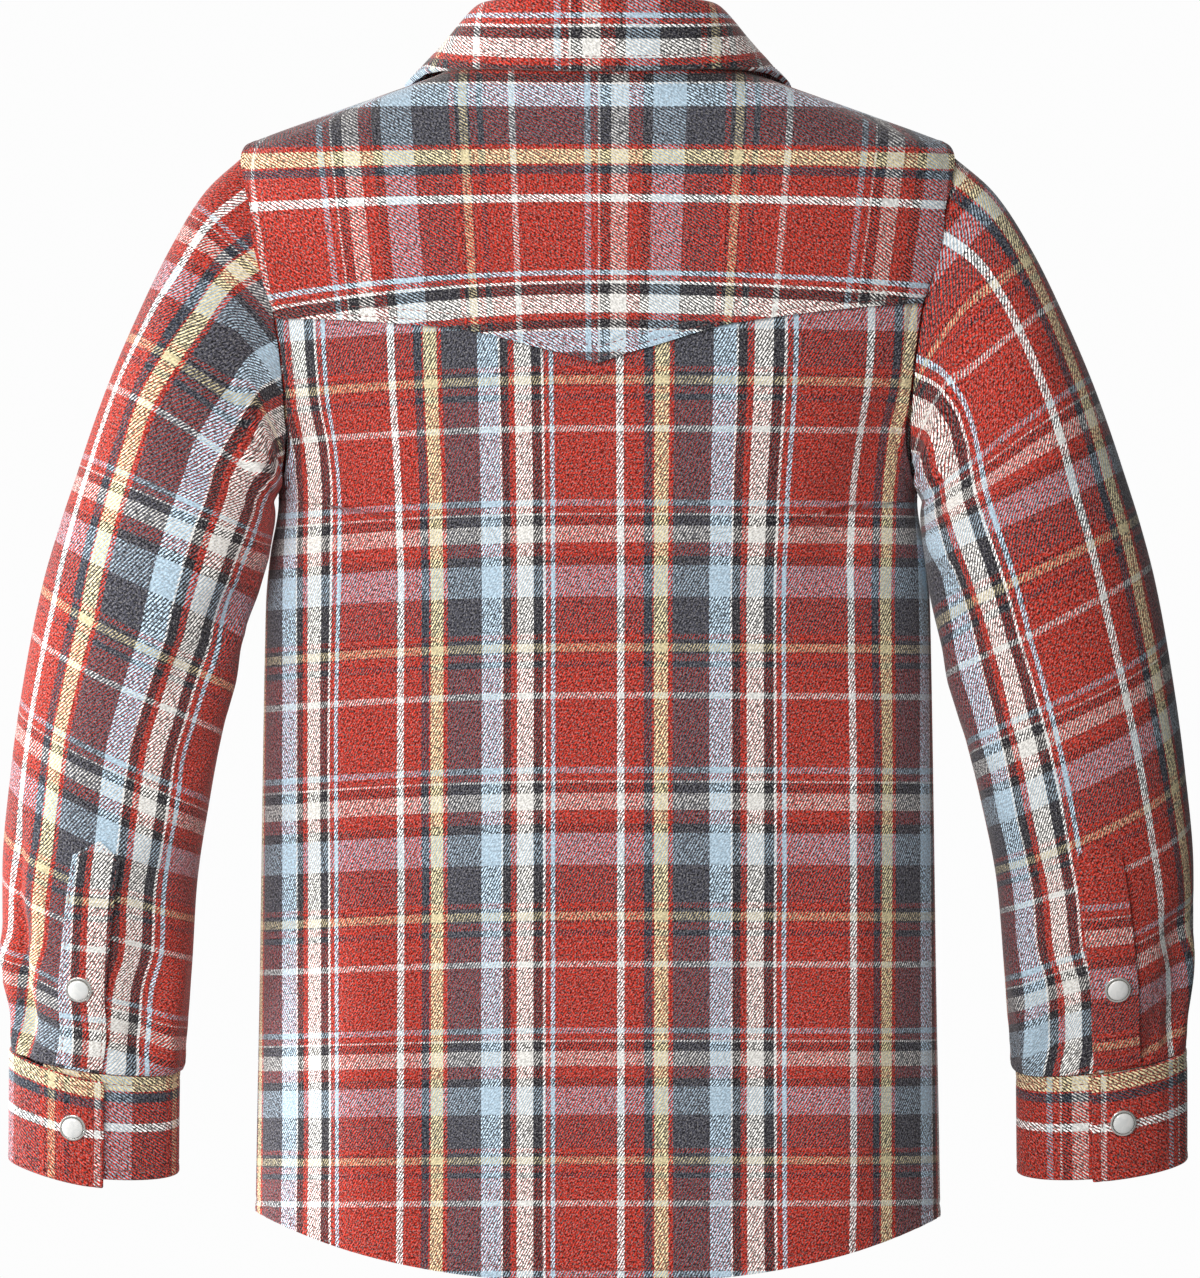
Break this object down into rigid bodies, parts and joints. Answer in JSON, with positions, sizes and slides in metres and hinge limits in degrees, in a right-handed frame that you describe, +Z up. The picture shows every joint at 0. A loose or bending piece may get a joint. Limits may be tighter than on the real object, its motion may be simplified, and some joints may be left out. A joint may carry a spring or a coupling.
{
  "type": "long-sleeved plaid western snap shirt",
  "caption": "Child's long-sleeved plaid flannel shirt with a pointed back yoke, turn-down collar, shirt-tail hem and pearl snaps, filled out as worn.",
  "frame": {"origin": "middle of the neck, level with the lower edge of the collar at the back, where the wearer's shoulders carry the shirt", "axes": "+Z up, -Y to the back with its yoke, +Y to the snapped front, +X to the wearer's right"},
  "size_m": [0.532, 0.157, 0.5676],
  "materials": {
    "plaid_flannel": "brushed cotton twill, yarn-dyed plaid of brick red, charcoal, light blue, cream, white and yellow",
    "snap_metal": "polished nickel rim",
    "snap_pearl": "pearl white"
  },
  "bodies": {
    "root": {"back": "plaid_flannel", "back_yoke": "plaid_flannel", "front_left": "plaid_flannel", "front_right": "plaid_flannel", "snap_band_left": "plaid_flannel", "snap_band_right": "plaid_flannel", "sleeve_left": "plaid_flannel", "sleeve_right": "plaid_flannel", "cuff_left": "plaid_flannel", "cuff_right": "plaid_flannel", "sleeve_placket_left": "plaid_flannel", "sleeve_placket_right": "plaid_flannel", "collar_stand": "plaid_flannel", "collar_fall": "plaid_flannel", "cuff_snap_left_ring": "snap_metal", "cuff_snap_left_pearl": "snap_pearl", "cuff_snap_right_ring": "snap_metal", "cuff_snap_right_pearl": "snap_pearl", "placket_snap_left_ring": "snap_metal", "placket_snap_left_pearl": "snap_pearl", "placket_snap_right_ring": "snap_metal", "placket_snap_right_pearl": "snap_pearl", "stand_snap_ring": "snap_metal", "stand_snap_pearl": "snap_pearl", "front_snap_1_ring": "snap_metal", "front_snap_1_pearl": "snap_pearl", "front_snap_2_ring": "snap_metal", "front_snap_2_pearl": "snap_pearl", "front_snap_3_ring": "snap_metal", "front_snap_3_pearl": "snap_pearl", "front_snap_4_ring": "snap_metal", "front_snap_4_pearl": "snap_pearl", "front_snap_5_ring": "snap_metal", "front_snap_5_pearl": "snap_pearl", "front_snap_6_ring": "snap_metal", "front_snap_6_pearl": "snap_pearl"}
  },
  "joints": []
}
